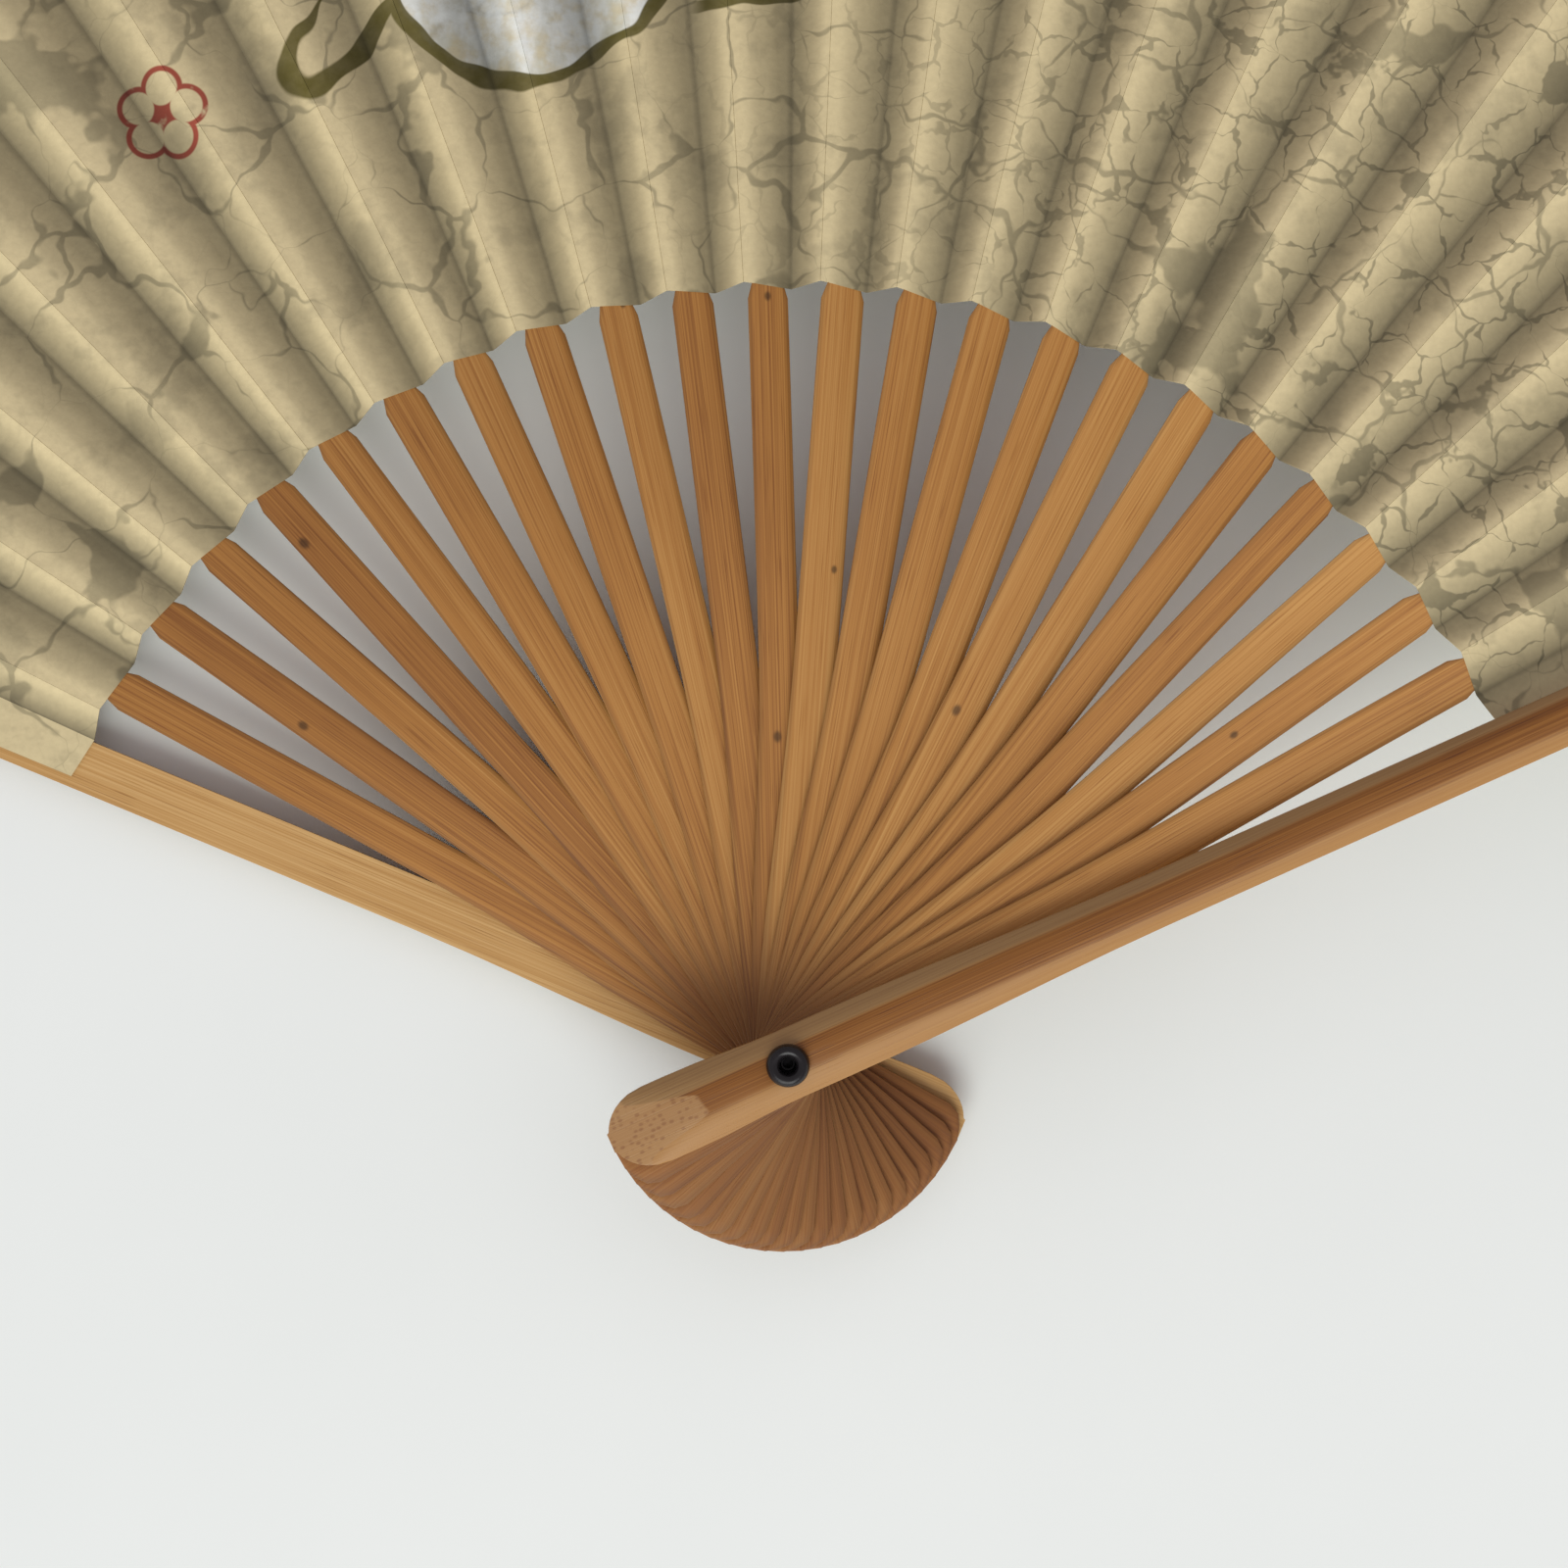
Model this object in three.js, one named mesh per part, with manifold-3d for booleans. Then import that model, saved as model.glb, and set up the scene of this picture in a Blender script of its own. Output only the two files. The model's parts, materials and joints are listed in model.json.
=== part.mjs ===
// A folding hand fan, half paper and half bare bamboo, lying open on its back.
// Units are millimetres. The rivet's axis is Z through the origin, +Y halves the open fan, and the
// rear face of the rivet lies at z = 0. Every stave is drawn along +X in its own frame: the pin hole
// is at the frame's origin, the tail points to -X, and a group turns the stave to its place.
import * as THREE from "three";
import { mergeVertices } from "three/addons/utils/BufferGeometryUtils.js";
import Module from "manifold-3d";

// ---- driving dimensions ----------------------------------------------------------------------
const RIB_COUNT = 22; // thin staves between the two guards
const OPEN_ANGLE = 133.45; // degrees between the guards
const LEAN = 2.1; // degrees by which the middle of the fan is pulled towards the front guard
const TAIL_LENGTH = 20.9; // from the pin to the tail end of every stave
const GUARD_REACH = 204; // from the pin to the tip of a guard
const LEAF_INNER = 85; // radius of the paper's inner edge
const LEAF_OUTER = 203; // radius of the paper's outer edge
const PAPER = 0.25; // thickness of the doubled paper with its paste
const SEAM = 0.12; // degrees between neighbouring leaf panels
const LEAF_AIR = 0.05; // between a leaf panel and the rib below it

const STACK_PITCH = 0.75; // height from one rib to the next
const RIB_THICKNESS = 0.55;
const TIP_THICKNESS = 0.25; // where a rib is pared down inside the leaf
const GUARD_THICKNESS = 2.6;
const GUARD_AIR = 0.1; // slack between the rear guard and the leaf
const RIB_AIR = 0.15; // slack between the leaf and the stave above it

const TAIL_WIDTH = 8.4; // at the widest place of the tail
const TAIL_ROUNDING = 5.5; // length of the rounded tail end
const PIN_WIDTH = 7.6; // beside the rivet
const WAIST_START = 8; // from the pin to where a stave begins to narrow
const WAIST_END = 45; // from the pin to where it has its blade's width
const RIB_WIDTH = 4.5;
const RIB_CORNER = 0.4;
const TIP_WIDTH = 3;
const TIP_START = LEAF_INNER - 0.5; // where a rib is cut back to its tongue
const TIP_END = LEAF_OUTER - 3;
const TIP_LAP = 2; // how far the tongue runs back into the full rib
const GUARD_WIDTH = 6.2;
const GUARD_CORNER = 1.8;
const GUARD_CHAMFER = 1.5; // across the guard
const GUARD_CHAMFER_DEPTH = 1.1; // through its thickness

const PIN_RADIUS = 1.6;
const PIN_BORE = 0.85;
const PIN_HOLE = 1.8; // hole in each stave
const RIVET_HEAD_RADIUS = 2.35;
const STUD_HEAD = 0.8;
const EYELET_HEAD = 1.2;
const EYELET_ROUNDING = 0.4; // lost from the head's height at its rim and at its bore
const EYELET_FOOT = 0.6; // from the rear guard's outer face to the end of the eyelet's tube
const STUD_SHANK_RADIUS = 0.75;
const STUD_TAPER = 0.3; // chamfer at the top of the stud's shank
const SEAT_AIR = 0.02; // under both heads

// ---- heights through the stack ---------------------------------------------------------------
const REAR_GUARD_Z = STUD_HEAD;
const REAR_LEAF_Z = REAR_GUARD_Z + GUARD_THICKNESS + GUARD_AIR;
const FIRST_RIB_Z = REAR_LEAF_Z + PAPER + RIB_AIR;
const ribZ = (k) => FIRST_RIB_Z + (k - 1) * STACK_PITCH;
const FRONT_LEAF_Z = ribZ(RIB_COUNT + 1);
const FRONT_GUARD_Z = FRONT_LEAF_Z + PAPER + RIB_AIR;
const EYELET_Z = FRONT_GUARD_Z + GUARD_THICKNESS;

// ---- directions of the staves, 0 the rear guard and RIB_COUNT + 1 the front guard -------------
const STAVES = RIB_COUNT + 1;

function azimuth(k) {
  const u = (2 * k) / STAVES - 1;
  return 90 - (u * OPEN_ANGLE) / 2 - LEAN * (1 - u * u) * (1 - u);
}

// ---- solids ------------------------------------------------------------------------------------
const wasm = await Module();
wasm.setup();

function toSolid(geometry) {
  const bare = geometry.clone();
  bare.deleteAttribute("normal");
  bare.deleteAttribute("uv");
  const merged = mergeVertices(bare, 1e-4);
  return new wasm.Manifold(
    new wasm.Mesh({
      numProp: 3,
      vertProperties: new Float32Array(merged.attributes.position.array),
      triVerts: new Uint32Array(merged.index.array),
    }),
  );
}

function toGeometry(solid) {
  const mesh = solid.getMesh();
  const geometry = new THREE.BufferGeometry();
  geometry.setAttribute("position", new THREE.BufferAttribute(mesh.vertProperties, 3));
  geometry.setIndex(new THREE.BufferAttribute(mesh.triVerts, 1));
  geometry.computeVertexNormals();
  return geometry;
}

function boxSolid(x0, x1, y0, y1, z0, z1) {
  const box = new THREE.BoxGeometry(x1 - x0, y1 - y0, z1 - z0);
  return toSolid(box.translate((x0 + x1) / 2, (y0 + y1) / 2, (z0 + z1) / 2));
}

function drill(solid, radius, height) {
  const hole = new THREE.CylinderGeometry(radius, radius, 4 * height, 16);
  return solid.subtract(toSolid(hole.rotateX(Math.PI / 2)));
}

// The outline of a stave: a rounded tail, a waist past the pin, and a straight blade.
function staveOutline(bladeWidth, end, corner) {
  const blade = bladeWidth / 2;
  const pin = PIN_WIDTH / 2;
  const tail = TAIL_WIDTH / 2;
  const tailCentre = TAIL_ROUNDING - TAIL_LENGTH;
  const middle = (WAIST_START + WAIST_END) / 2;
  const shape = new THREE.Shape();
  shape.moveTo(tailCentre, -tail);
  shape.bezierCurveTo(tailCentre / 2, -tail, tailCentre / 2, -pin, WAIST_START, -pin);
  shape.bezierCurveTo(middle, -pin, middle, -blade, WAIST_END, -blade);
  shape.lineTo(end - corner, -blade);
  shape.absarc(end - corner, -blade + corner, corner, -Math.PI / 2, 0, false);
  shape.absarc(end - corner, blade - corner, corner, 0, Math.PI / 2, false);
  shape.lineTo(WAIST_END, blade);
  shape.bezierCurveTo(middle, blade, middle, pin, WAIST_START, pin);
  shape.bezierCurveTo(tailCentre / 2, pin, tailCentre / 2, tail, tailCentre, tail);
  shape.absellipse(tailCentre, 0, TAIL_ROUNDING, tail, Math.PI / 2, (3 * Math.PI) / 2, false, 0);
  return shape;
}

function extrude(shape, depth, options = {}) {
  return new THREE.ExtrudeGeometry(shape, { depth, curveSegments: 6, bevelEnabled: false, ...options });
}

// A rib: full thickness where it shows, pared thin and narrow where it slides between the papers.
function ribGeometry() {
  const body = toSolid(extrude(staveOutline(RIB_WIDTH, TIP_START, RIB_CORNER), RIB_THICKNESS));
  const half = TIP_WIDTH / 2;
  const tongue = boxSolid(TIP_START - TIP_LAP, TIP_END, -half, half, 0, TIP_THICKNESS);
  return toGeometry(drill(body.add(tongue), PIN_HOLE, RIB_THICKNESS));
}

// A guard: flat on the side that faces the ribs, chamfered on the outer side, which is +Z here.
// The outline is bevelled on both sides, and everything below the flat face is cut away.
function guardGeometry() {
  const bevelled = extrude(staveOutline(GUARD_WIDTH, GUARD_REACH, GUARD_CORNER), GUARD_THICKNESS, {
    bevelEnabled: true,
    bevelThickness: GUARD_CHAMFER_DEPTH,
    bevelSize: GUARD_CHAMFER,
    bevelOffset: -GUARD_CHAMFER,
    bevelSegments: 2,
  });
  const lifted = toSolid(bevelled.translate(0, 0, -GUARD_CHAMFER_DEPTH));
  const reach = 2 * GUARD_REACH;
  const below = boxSolid(-reach, reach, -reach, reach, -GUARD_THICKNESS, 0);
  return toGeometry(drill(lifted.subtract(below), PIN_HOLE, GUARD_THICKNESS));
}

// A leaf panel: the share of the paper that one stave carries, from half way to the stave before it
// to half way to the stave after it.
function leafGeometry(from, to) {
  const shape = new THREE.Shape();
  shape.absarc(0, 0, LEAF_INNER, from, to, false);
  shape.absarc(0, 0, LEAF_OUTER, to, from, true);
  shape.closePath();
  return extrude(shape, PAPER);
}

// ---- rivet -------------------------------------------------------------------------------------
function lathe(profile) {
  const points = profile.map(([radius, height]) => new THREE.Vector2(radius, height));
  return new THREE.LatheGeometry(points, 36).rotateX(Math.PI / 2);
}

// The eyelet: a tube through the whole stack, with a domed ring on the front guard.
function eyeletGeometry() {
  const foot = REAR_GUARD_Z + EYELET_FOOT;
  const seat = EYELET_Z + SEAT_AIR;
  const top = EYELET_Z + EYELET_HEAD;
  const crown = (RIVET_HEAD_RADIUS + PIN_BORE) / 2;
  return lathe([
    [PIN_BORE, foot],
    [PIN_RADIUS, foot],
    [PIN_RADIUS, seat],
    [RIVET_HEAD_RADIUS, seat],
    [RIVET_HEAD_RADIUS, top - EYELET_ROUNDING],
    [crown + EYELET_ROUNDING, top],
    [crown - EYELET_ROUNDING, top],
    [PIN_BORE, top - EYELET_ROUNDING],
    [PIN_BORE, foot],
  ]);
}

// The stud: a low head behind the rear guard, and a shank inside the eyelet's bore.
function studGeometry() {
  const top = FRONT_GUARD_Z;
  const seat = STUD_HEAD - SEAT_AIR;
  return lathe([
    [0, 0],
    [RIVET_HEAD_RADIUS - STUD_HEAD / 2, 0],
    [RIVET_HEAD_RADIUS, STUD_HEAD / 2],
    [RIVET_HEAD_RADIUS, seat],
    [STUD_SHANK_RADIUS, seat],
    [STUD_SHANK_RADIUS, top - STUD_TAPER],
    [STUD_SHANK_RADIUS - STUD_TAPER, top],
    [0, top],
  ]);
}

// ---- materials ---------------------------------------------------------------------------------
const bamboo = (hex) => new THREE.MeshStandardMaterial({ color: hex, roughness: 0.55, metalness: 0 });
const paper = () => new THREE.MeshStandardMaterial({ color: 0xcdc29c, roughness: 0.9, metalness: 0 });
const lacquer = () => new THREE.MeshStandardMaterial({ color: 0x0c0a0a, roughness: 0.2, metalness: 0 });

// ---- assembly ----------------------------------------------------------------------------------
const group = new THREE.Group();
const twoDigits = (k) => String(k).padStart(2, "0");

function place(name, geometry, material, z, degrees, parent = group) {
  const mesh = new THREE.Mesh(geometry, material);
  mesh.name = name;
  mesh.position.z = z;
  mesh.rotation.z = THREE.MathUtils.degToRad(degrees);
  parent.add(mesh);
  return mesh;
}

const guard = guardGeometry();

// The rear guard is the same slip turned over, so that its flat side faces the ribs too.
const rearTurn = new THREE.Group();
rearTurn.rotation.z = THREE.MathUtils.degToRad(azimuth(0));
rearTurn.position.z = REAR_GUARD_Z + GUARD_THICKNESS;
group.add(rearTurn);
const rearGuard = place("rear_guard", guard, bamboo(0xc89b5a), 0, 0, rearTurn);
rearGuard.rotation.x = Math.PI;

const rib = ribGeometry();
const GOLDEN_ANGLE = 2.4; // radians, so that the tones of neighbouring ribs never repeat in step
for (let k = 1; k <= RIB_COUNT; k += 1) {
  const tone = new THREE.Color(0xb07840).offsetHSL(0, 0, 0.05 * Math.sin(k * GOLDEN_ANGLE));
  place("rib_" + twoDigits(k), rib, bamboo(tone), ribZ(k), azimuth(k));
}

place("front_guard", guard, bamboo(0xb07a3c), FRONT_GUARD_Z, azimuth(STAVES));

// The end panels stop at the inner faces of the guards that they are pasted to.
for (let k = 0; k <= STAVES; k += 1) {
  const here = azimuth(k);
  const before = k === 0 ? here : (here + azimuth(k - 1)) / 2;
  const after = k === STAVES ? here : (here + azimuth(k + 1)) / 2;
  const from = THREE.MathUtils.degToRad(after + SEAM / 2);
  const to = THREE.MathUtils.degToRad(before - (k === 0 ? 0 : SEAM / 2));
  let height = ribZ(k) + TIP_THICKNESS + LEAF_AIR;
  if (k === 0) height = REAR_LEAF_Z;
  if (k === STAVES) height = FRONT_LEAF_Z;
  place("leaf_panel_" + twoDigits(k), leafGeometry(from, to), paper(), height, 0);
}

place("rivet_eyelet", eyeletGeometry(), lacquer(), 0, 0);
place("rivet_stud", studGeometry(), lacquer(), 0, 0);

export default group;
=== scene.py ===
# %% [markdown]
# # A folding hand fan, half paper and half bare bamboo
# A folding fan is a stack of thin bamboo staves on one rivet, with a pleated paper leaf pasted over
# their outer ends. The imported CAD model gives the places, the turning angles and the stack heights.
# This notebook dresses that model: it carves the staves, folds the paper, and gives each a finish.

# %% Load the frame
import json
import math
import random

import bmesh
import bpy
import numpy as np
from mathutils import Matrix, Vector


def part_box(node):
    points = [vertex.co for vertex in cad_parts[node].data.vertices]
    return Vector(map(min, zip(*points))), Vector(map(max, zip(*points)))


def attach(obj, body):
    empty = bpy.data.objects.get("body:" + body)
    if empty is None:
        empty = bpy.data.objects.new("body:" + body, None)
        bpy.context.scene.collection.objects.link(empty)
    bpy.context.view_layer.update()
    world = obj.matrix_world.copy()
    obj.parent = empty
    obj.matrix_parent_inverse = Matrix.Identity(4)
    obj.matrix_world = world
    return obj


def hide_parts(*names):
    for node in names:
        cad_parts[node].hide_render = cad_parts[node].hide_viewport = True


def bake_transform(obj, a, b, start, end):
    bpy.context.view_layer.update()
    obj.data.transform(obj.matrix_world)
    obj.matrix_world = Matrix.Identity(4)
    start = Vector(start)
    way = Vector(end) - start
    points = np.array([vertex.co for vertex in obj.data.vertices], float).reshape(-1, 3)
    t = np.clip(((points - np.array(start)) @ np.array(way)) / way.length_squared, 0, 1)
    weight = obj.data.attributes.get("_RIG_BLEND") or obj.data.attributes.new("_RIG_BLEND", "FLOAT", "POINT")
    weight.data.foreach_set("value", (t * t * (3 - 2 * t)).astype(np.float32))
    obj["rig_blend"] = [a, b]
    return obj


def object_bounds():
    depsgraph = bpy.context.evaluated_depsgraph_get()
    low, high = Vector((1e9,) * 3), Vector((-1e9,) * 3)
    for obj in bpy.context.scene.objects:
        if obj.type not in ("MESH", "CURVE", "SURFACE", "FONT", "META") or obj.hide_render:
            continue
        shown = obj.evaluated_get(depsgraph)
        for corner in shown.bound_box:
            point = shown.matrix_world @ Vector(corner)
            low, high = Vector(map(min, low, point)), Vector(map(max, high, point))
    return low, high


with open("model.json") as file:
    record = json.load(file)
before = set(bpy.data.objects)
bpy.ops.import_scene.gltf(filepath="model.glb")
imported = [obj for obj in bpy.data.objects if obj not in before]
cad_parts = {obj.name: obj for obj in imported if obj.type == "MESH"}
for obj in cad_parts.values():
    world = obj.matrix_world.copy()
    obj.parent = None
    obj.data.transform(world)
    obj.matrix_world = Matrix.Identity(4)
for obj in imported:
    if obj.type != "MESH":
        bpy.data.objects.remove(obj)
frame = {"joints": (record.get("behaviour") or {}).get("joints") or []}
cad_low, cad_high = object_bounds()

print("CAD box in mm:", [round(1000 * v, 1) for v in (*cad_low, *cad_high)])

# %% [markdown]
# ## The camera, the table and the light
# The fan lies on its back and is seen from straight above, from about 65 cm. A long lens keeps the
# rivet and the far end of the paper in proportion. One broad lamp at the near side of the table, low
# enough to rake across the pleats, models the folds, and a pale sky fills the shadows. A bare sky
# alone would make every pleat the same grey, and a small lamp would draw hard shadow edges.

# %% Camera
scene = bpy.context.scene
scene.view_settings.view_transform = "Standard"

CAMERA_HEIGHT = 0.650
CAMERA_FORWARD = 0.0303
FIELD_WIDTH = 0.175  # width of the picture at the foot of the rivet
CAMERA_ROLL = math.radians(-0.79)

camera_data = bpy.data.cameras.new("camera")
camera_data.sensor_width = 36
camera_data.lens = 36 * CAMERA_HEIGHT / FIELD_WIDTH
camera = bpy.data.objects.new("camera", camera_data)
camera.location = (0, CAMERA_FORWARD, CAMERA_HEIGHT)
camera.rotation_euler = (0, 0, CAMERA_ROLL)
scene.collection.objects.link(camera)
scene.camera = camera
print("lens in mm:", round(camera_data.lens, 1))

# %% Lamps and sky
def add_lamp(name, place, target, size, power, colour):
    """A square soft lamp at place, facing target."""
    data = bpy.data.lights.new(name, "AREA")
    data.size = size
    data.energy = power
    data.color = colour
    lamp = bpy.data.objects.new(name, data)
    lamp.location = place
    lamp.rotation_euler = (Vector(target) - Vector(place)).to_track_quat("-Z", "Y").to_euler()
    scene.collection.objects.link(lamp)
    return lamp


WINDOW_PLACE = (-0.12, -1.40, 1.20)
WINDOW_SIZE = 1.6
WINDOW_POWER = 31.8
WINDOW_COLOUR = (0.97, 1.0, 0.965)
SKY_COLOUR = (1.0, 0.915, 0.97, 1)
SKY_STRENGTH = 0.50

add_lamp("window", WINDOW_PLACE, (0, 0.06, 0), WINDOW_SIZE, WINDOW_POWER, WINDOW_COLOUR)
sky = bpy.data.worlds.new("sky")
sky.use_nodes = True
background = sky.node_tree.nodes["Background"]
background.inputs["Color"].default_value = SKY_COLOUR
background.inputs["Strength"].default_value = SKY_STRENGTH
scene.world = sky

# %% [markdown]
# ## Shader arithmetic
# Patterns such as bamboo fibre and marbled paper are sums and products of noise. Written as node
# calls they are unreadable, so one small class wraps a socket and turns Python's operators into Math
# nodes. Every other node comes from its one `node` method.

# %% The Value class
class Value:
    """A number, colour or vector inside a material. Arithmetic on it adds Math nodes."""

    def __init__(self, tree, socket=None):
        self.tree = tree
        self.socket = socket

    def node(self, kind, settings=None, inputs=None, output=0):
        """Adds any shader node: its settings first, then the values or links of its sockets."""
        made = self.tree.nodes.new("ShaderNode" + kind)
        for name, setting in (settings or {}).items():
            if name == "stops":
                ramp = made.color_ramp.elements
                while len(ramp) < len(setting):
                    ramp.new(1.0)
                for element, (position, colour) in zip(ramp, setting):
                    element.position = position
                    element.color = (*colour, 1.0)
            else:
                setattr(made, name, setting)
        for name, given in (inputs or {}).items():
            if isinstance(given, Value):
                self.tree.links.new(given.socket, made.inputs[name])
            else:
                made.inputs[name].default_value = given
        return Value(self.tree, made.outputs[output])

    def maths(self, operation, *numbers):
        inputs = dict(enumerate(numbers))
        return self.node("Math", {"operation": operation}, inputs)

    def __add__(self, other):
        return self.maths("ADD", self, other)

    def __radd__(self, other):
        return self.maths("ADD", other, self)

    def __sub__(self, other):
        return self.maths("SUBTRACT", self, other)

    def __rsub__(self, other):
        return self.maths("SUBTRACT", other, self)

    def __mul__(self, other):
        return self.maths("MULTIPLY", self, other)

    def __rmul__(self, other):
        return self.maths("MULTIPLY", other, self)

    def __truediv__(self, other):
        return self.maths("DIVIDE", self, other)

    def root(self):
        return self.maths("SQRT", self)

    def size(self):
        return self.maths("ABSOLUTE", self)

    def either(self, other):
        """The larger of two masks."""
        return self.maths("MAXIMUM", self, other)

    def step(self, low, high):
        """0 below low, 1 above high, and a smooth slope between."""
        settings = {"interpolation_type": "SMOOTHSTEP"}
        if low <= high:
            return self.node("MapRange", settings, {0: self, 1: low, 2: high, 3: 0.0, 4: 1.0})
        return self.node("MapRange", settings, {0: self, 1: high, 2: low, 3: 1.0, 4: 0.0})


def start_finish(name):
    """A new material: its tree as a Value, and its Principled shader."""
    material = bpy.data.materials.new(name)
    material.use_nodes = True
    tree = material.node_tree
    return material, Value(tree), tree.nodes["Principled BSDF"]


def feed(shader, name, value):
    """Links a Value to a socket of the shader."""
    value.tree.links.new(value.socket, shader.inputs[name])


def parts(start, coordinates):
    """The x and y of some coordinates."""
    inputs = {0: coordinates}
    return start.node("SeparateXYZ", None, inputs), start.node("SeparateXYZ", None, inputs, output=1)


def attribute(start, name):
    """A number that the mesh stores at each of its vertices."""
    return start.node("Attribute", {"attribute_name": name}, output=2)


def mix(factor, first, second):
    """Mixes two colours by factor, a Value."""
    colours = [(*c, 1.0) if isinstance(c, tuple) else c for c in (first, second)]
    inputs = {0: factor, 6: colours[0], 7: colours[1]}
    return factor.node("Mix", {"data_type": "RGBA"}, inputs, output=2)


def multiply_colour(colour, factor):
    """Darkens or lightens a colour by factor, a Value."""
    grey = factor.node("CombineColor", None, {0: factor, 1: factor, 2: factor})
    settings = {"data_type": "RGBA", "blend_type": "MULTIPLY"}
    return factor.node("Mix", settings, {0: 1.0, 6: colour, 7: grey}, output=2)


def stretched(start, coordinates, scale, offset=(0, 0, 0)):
    """Coordinates times scale, plus an offset."""
    return start.node("Mapping", None, {"Vector": coordinates, "Scale": scale, "Location": offset})


def moved(start, coordinates, offset):
    """Coordinates moved by an offset, so that one noise gives several patterns."""
    return stretched(start, coordinates, (1, 1, 1), offset)


def noise(coordinates, scale, detail=3.0, roughness=0.55):
    inputs = {"Vector": coordinates, "Scale": scale, "Detail": detail, "Roughness": roughness}
    return coordinates.node("TexNoise", None, inputs)


print("shader arithmetic is ready")

# %% [markdown]
# ## Bamboo
# Split bamboo shows straight fibres along the stave: dark and light lines a fifth of a millimetre
# wide, bands of tone a millimetre wide, short dark pores where a bundle surfaces, and now and then a
# pin-sized knot. The staves carry a UV map in metres, u along the stave and v across it, so stretched
# noise follows every stave wherever it points. Object coordinates would run the grain of all staves
# in one direction. Each rib is darker along both edges, and handling has reddened its tail.

# %% Bamboo finish
KNOTS = (  # rib, along the stave in m, across in m, radius in m
    (2, 0.0650, 0.0010, 0.00050),
    (4, 0.0780, 0.0012, 0.00055),
    (9, 0.0850, -0.0008, 0.00035),
    (11, 0.0355, 0.0002, 0.00050),
    (11, 0.0838, 0.0000, 0.00040),
    (12, 0.0540, -0.0012, 0.00035),
    (16, 0.0425, 0.0006, 0.00050),
    (21, 0.0600, 0.0009, 0.00040),
)
RIB_UV_STEP = 0.1  # each rib's v starts this much further on, so no two share a pattern
RIB_COLOURS = ((0.24, 0.088, 0.018), (0.42, 0.188, 0.041), (0.56, 0.300, 0.088))
RIB_TAIL_RED = (0.26, 0.085, 0.020)
FIBRE_SCALE = (16, 5200, 1)  # repeats per metre along and across the stave
BAND_SCALE = (4, 900, 1)
CLOUD_SCALE = (28, 110, 1)
PORE_SCALE = (120, 7000, 1)


def bamboo_grain(start, grain):
    """The fibres: how light each spot is, from 0 to 1, and how high it stands."""
    tone = attribute(start, "tone")
    fibre = noise(stretched(start, grain, FIBRE_SCALE), 1.0, detail=2.0)
    band = noise(stretched(start, grain, BAND_SCALE, (3, 7, 0)), 1.0, detail=2.0)
    cloud = noise(stretched(start, grain, CLOUD_SCALE, (11, 2, 0)), 1.0)
    pore = noise(stretched(start, grain, PORE_SCALE, (5, 5, 0)), 1.0, detail=0.0).step(0.66, 0.76)
    lightness = 0.5 + (fibre - 0.5) * 1.05 + (band - 0.5) * 0.4 + (cloud - 0.5) * 0.35 + tone * 0.2
    return lightness - pore * 0.18, fibre * 0.6 + band * 0.4 - pore * 0.3


def bamboo_ramp(start, lightness, colours, ends=(0.12, 0.92)):
    """The colour of bamboo of some lightness, from a dark, a middle and a light one."""
    stops = list(zip((ends[0], 0.5, ends[1]), colours))
    return start.node("ValToRGB", {"stops": stops}, {"Fac": lightness})


def bamboo_skin(start, shader, height, roughness):
    """The parts that every bamboo finish shares: sheen, and the relief of the fibres."""
    feed(shader, "Roughness", roughness + (height - 0.5) * 0.3)
    shader.inputs["Specular IOR Level"].default_value = 0.4
    relief = {"Strength": 0.5, "Distance": 0.00008, "Height": height}
    feed(shader, "Normal", start.node("Bump", None, relief))


def rib_finish():
    material, start, shader = start_finish("rib_bamboo")
    grain = start.node("UVMap", {"uv_map": "grain"})
    lightness, height = bamboo_grain(start, grain)
    colour = bamboo_ramp(start, lightness, RIB_COLOURS)
    along, across = parts(start, grain)
    edge = attribute(start, "mark").step(0.70, 1.0)
    tail = along.step(0.020, -0.006)
    colour = mix(tail * 0.5, colour, RIB_TAIL_RED)
    shade = (1.0 - tail * 0.17) * (1.0 - edge * 0.28)
    for rib, place, sideways, radius in KNOTS:
        du = (along - place) / (1.4 * radius)
        dv = (across - (RIB_UV_STEP * rib + sideways)) / radius
        distance = (du * du + dv * dv).root()
        shade = shade * (1.0 - distance.step(1.3, 0.4) * 0.65)
    feed(shader, "Base Color", multiply_colour(colour, shade))
    bamboo_skin(start, shader, height, 0.52)
    return material


rib_bamboo = rib_finish()
print("finish:", rib_bamboo.name)

# %% [markdown]
# ## The lay of the staves
# The hinges of the frame say how far each stave turns to close onto the one before it. Adding those
# angles up gives the direction of every stave in the open fan, counted from the rear guard at the
# left. The stack heights come from the boxes of the CAD ribs.

# %% Directions and heights
MM = 0.001
steps = [math.radians(joint["range_deg"][1]) for joint in frame["joints"]]
STAVES = len(steps)  # the rear guard is 0 and the front guard is STAVES
RIBS = range(1, STAVES)
azimuth = [math.pi / 2 + sum(steps) / 2]
for step in steps:
    azimuth.append(azimuth[-1] - step)
body_of_stave = ["rear_guard", *(f"rib_{k:02d}" for k in RIBS), "front_guard"]

RIB_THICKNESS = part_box("rib_01")[1].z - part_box("rib_01")[0].z
height = [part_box("leaf_panel_00")[1].z]
for k in RIBS:
    height.append(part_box(f"rib_{k:02d}")[0].z + RIB_THICKNESS / 2)
height.append(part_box(f"leaf_panel_{STAVES}")[1].z)
print("staves point at", [round(math.degrees(a), 1) for a in azimuth])
print("middle heights in mm", [round(1000 * z, 2) for z in height])

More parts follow.
